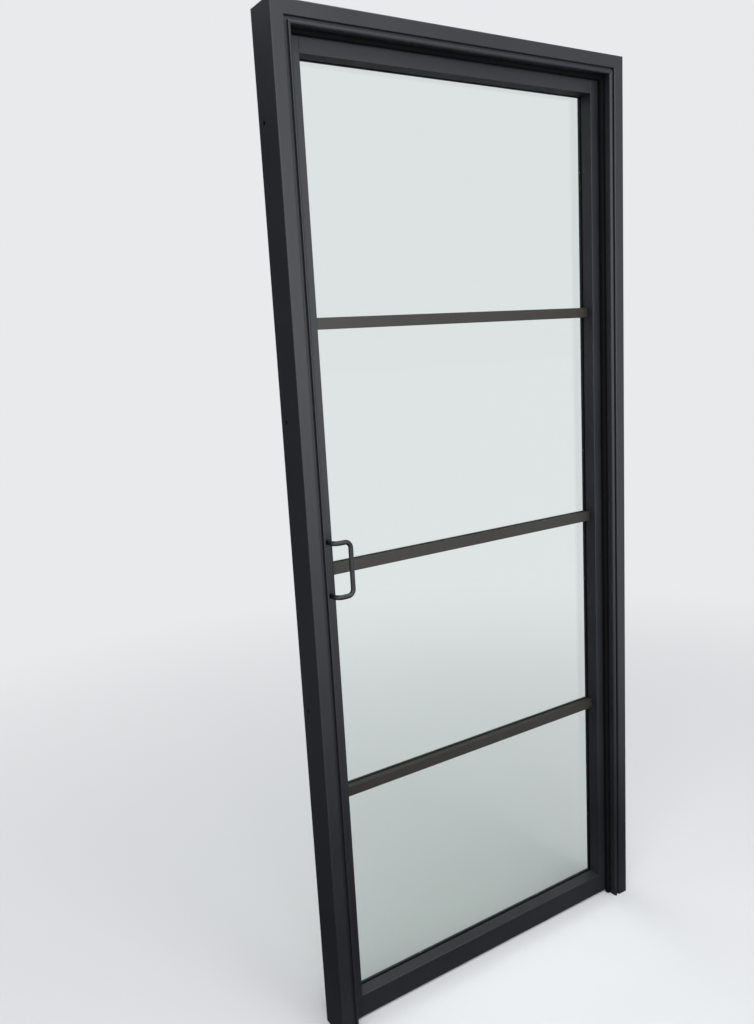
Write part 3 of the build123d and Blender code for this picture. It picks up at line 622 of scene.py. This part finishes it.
def wing_route(node_name, side):
    """The line round a wing's three free edges, where it meets the back face."""
    low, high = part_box(node_name)
    near = HINGE_X + side * (WING_START + WELD_START)
    far = HINGE_X + side * (WING_START + WING_LENGTH)
    bottom, top = low[2] + WING_END, high[2] - WING_END
    y = LEAF_BACK + WELD_SUNK
    return [(near, y, bottom), (far, y, bottom), (far, y, top), (near, y, top)]


for body, half, side, coat, slot in (
    ("frame", "lower", 1, FRAME_COAT, "frame_coating"),
    ("leaf", "upper", -1, LEAF_COAT, "leaf_coating"),
):
    routes = [wing_route(f"hinge_{half}_{i}", side) for i in (1, 2, 3)]
    welds = grow(f"hinge_{half}_welds", path_mesh(f"weld_lines_{half}", routes), weld_tree(coat))
    place_piece(welds, body, slot)


# Camera, at the photograph's place and angle

RIGHT = Vector((0.84101706, -0.53805041, -0.05649828))
DOWN = Vector((-0.14692128, -0.12663876, -0.98100803))
AHEAD = Vector((0.52067691, 0.83334529, -0.18555642))
CAMERA_PLACE = (-1.22165, -1.55, 1.49066)
IMAGE_HEIGHT = 1024
FOCAL_PIXELS = 881.674
SHIFT_PIXELS = (2, -1)
SENSOR = 36

camera = bpy.data.objects.new("camera", bpy.data.cameras.new("camera"))
bpy.context.collection.objects.link(camera)
turn = Matrix((RIGHT, -DOWN, -AHEAD)).transposed()
camera.matrix_world = Matrix.Translation(CAMERA_PLACE) @ turn.to_4x4()
camera.data.sensor_width = SENSOR
camera.data.lens = SENSOR * FOCAL_PIXELS / IMAGE_HEIGHT
camera.data.shift_x = SHIFT_PIXELS[0] / IMAGE_HEIGHT
camera.data.shift_y = SHIFT_PIXELS[1] / IMAGE_HEIGHT
camera.data.clip_start = 0.01
bpy.context.scene.camera = camera


# Stage: a pale floor that runs into a pale backdrop, and soft studio light

BACKDROP = linear("#e9eaec")
# The room's bright side is in front of the door and a little above
BRIGHT_SIDE = (0.10, -0.95, 0.30)


def backdrop_strength(tree, direction):
    """Which rays the backdrop shows to, and how strongly. Those that come straight from the
    camera, also through the glass, see it in full. Its mirror image dies away behind the door."""
    ray = node(tree, "ShaderNodeLightPath").outputs
    unmirrored = node(tree, "ShaderNodeMath", {0: ray["Glossy Depth"], 1: 0.5},
                      operation="LESS_THAN")
    through = node(tree, "ShaderNodeMath", {0: ray["Is Transmission Ray"], 1: unmirrored},
                   operation="MULTIPLY")
    straight = node(tree, "ShaderNodeMath", {0: ray["Is Camera Ray"], 1: through},
                    operation="MAXIMUM")
    glossy = node(tree, "ShaderNodeMath", {0: ray["Is Glossy Ray"], 1: ray["Is Transmission Ray"]},
                  operation="MAXIMUM")
    shown = node(tree, "ShaderNodeMath", {0: straight, 1: glossy}, operation="MAXIMUM")
    bright = node(tree, "ShaderNodeVectorMath", {0: direction, 1: BRIGHT_SIDE},
                  operation="DOT_PRODUCT")
    mirrored = node(tree, "ShaderNodeMapRange", {
        "Value": bright, "From Min": -0.55, "From Max": 0.20, "To Min": 0.10, "To Max": 1.0})
    strength = node(tree, "ShaderNodeMix", {"Factor": straight, "A": mirrored, "B": 1.0},
                    data_type="FLOAT")
    return straight, shown, strength


def floor_material():
    """Matt pale studio floor, which takes the door's shadow and fades into the backdrop."""
    material, tree, point = new_material("pale_studio_floor")
    matt = node(tree, "ShaderNodeBsdfPrincipled", {
        "Base Color": linear("#dcdddf"), "Roughness": 0.9, "Specular IOR Level": 0.1})
    far = node(tree, "ShaderNodeVectorMath", {0: point["Object"]}, operation="LENGTH")
    fade = node(tree, "ShaderNodeMapRange", {"Value": far, "From Min": 0.9, "From Max": 3.4},
                interpolation_type="SMOOTHSTEP")
    outward = node(tree, "ShaderNodeVectorMath", {0: point["Object"]}, operation="NORMALIZE")
    straight, shown, strength = backdrop_strength(tree, outward)
    near = node(tree, "ShaderNodeMapRange", {"Value": straight, "To Min": 0.95, "To Max": 0.0})
    drawn = node(tree, "ShaderNodeMath", {0: fade, 1: near}, operation="MAXIMUM")
    share = node(tree, "ShaderNodeMath", {0: drawn, 1: shown}, operation="MULTIPLY")
    # In reflections the floor's glow is darkened near the door's foot, a painted shade like the
    # shade under a real door, and is bright further out
    painted_foot_shade = node(tree, "ShaderNodeMapRange", {
        "Value": far, "From Min": 0.7, "From Max": 2.3, "To Min": 0.03, "To Max": 1.15})
    reflection_shade = node(tree, "ShaderNodeMix", {"Factor": straight, "A": painted_foot_shade, "B": 1.0},
               data_type="FLOAT")
    shaded_strength = node(tree, "ShaderNodeMath", {0: strength, 1: reflection_shade}, operation="MULTIPLY")
    glow = node(tree, "ShaderNodeEmission", {"Color": BACKDROP, "Strength": shaded_strength})
    mix = node(tree, "ShaderNodeMixShader", {0: share, 1: matt, 2: glow})
    node(tree, "ShaderNodeOutputMaterial", {"Surface": mix})
    return material


REACH = 40.0
floor_mesh = bpy.data.meshes.new("floor")
floor_mesh.from_pydata(
    [(-REACH, -REACH, 0), (REACH, -REACH, 0), (REACH, REACH, 0), (-REACH, REACH, 0)], [],
    [(0, 1, 2, 3)])
floor_mesh.materials.append(floor_material())
floor = bpy.data.objects.new("floor", floor_mesh)
bpy.context.collection.objects.link(floor)

studio = bpy.data.worlds.new("studio")
bpy.context.scene.world = studio
studio.use_nodes = True
room = studio.node_tree
room.nodes.clear()
way = node(room, "ShaderNodeTexCoord").outputs["Generated"]
bright = node(room, "ShaderNodeVectorMath", {0: way, 1: BRIGHT_SIDE}, operation="DOT_PRODUCT")
level = node(room, "ShaderNodeMapRange", {
    "Value": bright, "From Min": -0.8, "From Max": 0.9, "To Min": 0.15, "To Max": 0.78})
straight, shown, strength = backdrop_strength(room, way)
lit = node(room, "ShaderNodeBackground", {"Color": linear("#f2f3f5"), "Strength": level})
backdrop = node(room, "ShaderNodeBackground", {"Color": BACKDROP, "Strength": strength})
seen = node(room, "ShaderNodeMixShader", {0: shown, 1: lit, 2: backdrop})
node(room, "ShaderNodeOutputWorld", {"Surface": seen})


def softbox(name, place, target, width, height, power):
    """A soft white rectangular lamp, of a size in metres and a power in watts, that faces a
    point of the door."""
    lamp = bpy.data.lights.new(name, "AREA")
    lamp.shape = "RECTANGLE"
    lamp.size = width
    lamp.size_y = height
    lamp.energy = power
    made = bpy.data.objects.new(name, lamp)
    aim = Vector(target) - Vector(place)
    turn = aim.to_track_quat("-Z", "Y").to_matrix().to_4x4()
    made.matrix_world = Matrix.Translation(place) @ turn
    made.visible_camera = False
    made.visible_transmission = False
    bpy.context.collection.objects.link(made)


softbox("key_softbox", (0.3, -1.5, 4.8), (0, -0.2, 0.8), 3.2, 2.6, 84)
softbox("front_softbox", (0.6, -3.6, 1.7), (-0.4, 0, 1.5), 1.3, 2.2, 38)
softbox("side_softbox", (-3.5, -3.7, 2.5), (0.3, 0, 1.8), 5.6, 4.2, 158)
softbox("rear_fill", (-0.2, 3.4, 4.6), (0, 0, 1.1), 2.6, 2.0, 58)

bpy.context.scene.view_settings.view_transform = "Standard"
